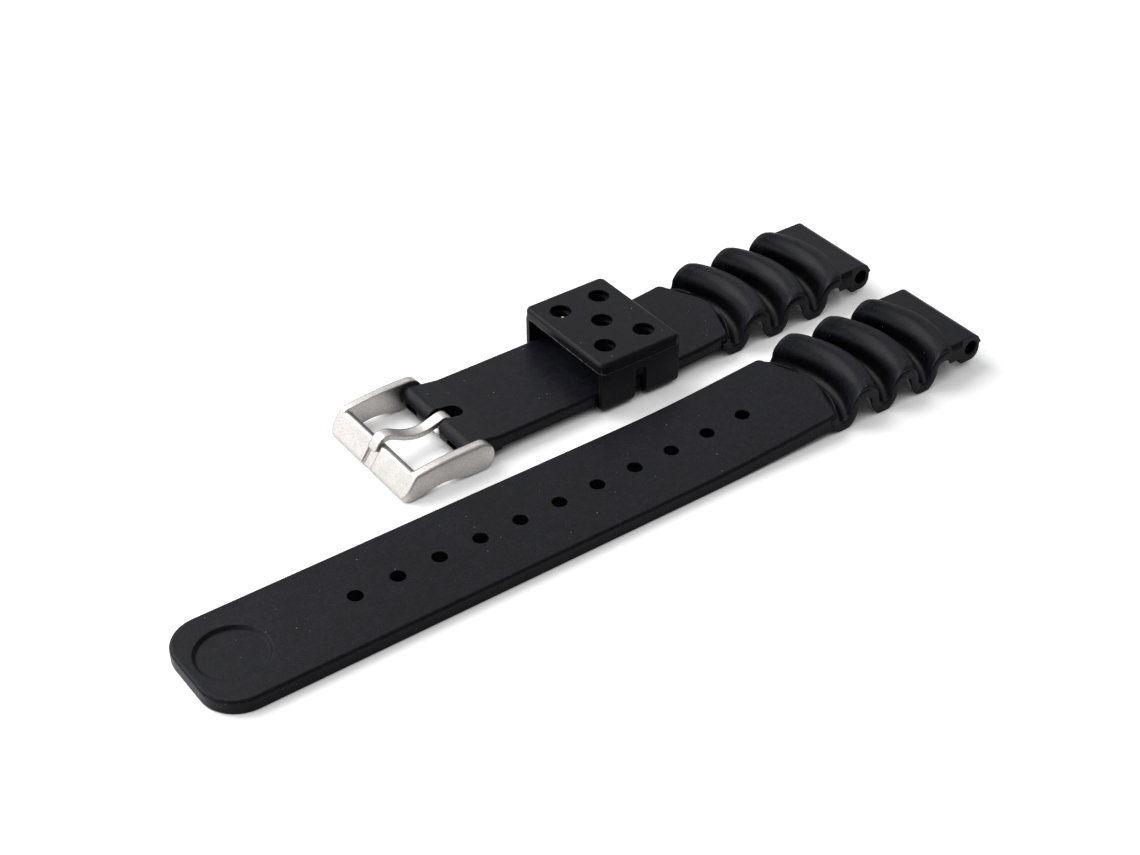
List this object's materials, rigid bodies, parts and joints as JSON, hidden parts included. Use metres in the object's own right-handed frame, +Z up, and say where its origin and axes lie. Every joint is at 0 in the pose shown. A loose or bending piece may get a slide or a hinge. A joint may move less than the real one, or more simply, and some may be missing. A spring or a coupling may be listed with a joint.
{
  "type": "dive watch strap",
  "caption": "Two-piece black rubber watch strap with arched expansion waves, a vented keeper loop and a steel pin buckle.",
  "frame": {"origin": "bottom centre of the whole part's box, on the surface both halves lie on", "axes": "+X along the halves towards their lug ends, +Y from the long half towards the short half, +Z up"},
  "size_m": [0.1494, 0.0502, 0.0102],
  "materials": {
    "strap_rubber": "matte moulded rubber with a soft sheen",
    "keeper_rubber": "matte moulded rubber",
    "buckle_steel": "bead-blasted satin",
    "bar_steel": "plain turned steel"
  },
  "bodies": {
    "short_half": {"short_strap": "strap_rubber", "bar_barrel": "bar_steel", "bar_coil": "bar_steel"},
    "frame_swing": {"buckle_frame": "buckle_steel"},
    "tongue_swing": {"tongue": "buckle_steel"},
    "keeper_loop": {"keeper": "keeper_rubber"},
    "plunger_near": {"bar_plunger_near": "bar_steel"},
    "plunger_far": {"bar_plunger_far": "bar_steel"},
    "long_half": {"long_strap": "strap_rubber"}
  },
  "joints": [
    {"name": "frame_hinge", "type": "hinge", "parent": "short_half", "child": "frame_swing", "pos_m": [-0.01295, 0.01328, 0.0027], "axis": [0, 1, 0], "range_deg": [-30, 45]},
    {"name": "tongue_hinge", "type": "hinge", "parent": "frame_swing", "child": "tongue_swing", "pos_m": [-0.01295, 0.01328, 0.0027], "axis": [0, 1, 0], "range_deg": [0, 75]},
    {"name": "keeper_slide", "type": "slide", "parent": "short_half", "child": "keeper_loop", "axis": [1, 0, 0], "range_m": [-0.017, 0.0015]},
    {"name": "plunger_near_slide", "type": "slide", "parent": "short_half", "child": "plunger_near", "axis": [0, 1, 0], "range_m": [0, 0.0008], "stiffness_N_per_m": 500, "springref_m": -0.001, "deforming": ["bar_coil"]},
    {"name": "plunger_far_slide", "type": "slide", "parent": "short_half", "child": "plunger_far", "axis": [0, -1, 0], "range_m": [0, 0.0008], "stiffness_N_per_m": 500, "springref_m": -0.001, "deforming": ["bar_coil"]},
    {"name": "long_lift", "type": "slide", "parent": "short_half", "child": "long_half", "axis": [0, 0, 1], "range_m": [0, 0.06]}
  ]
}
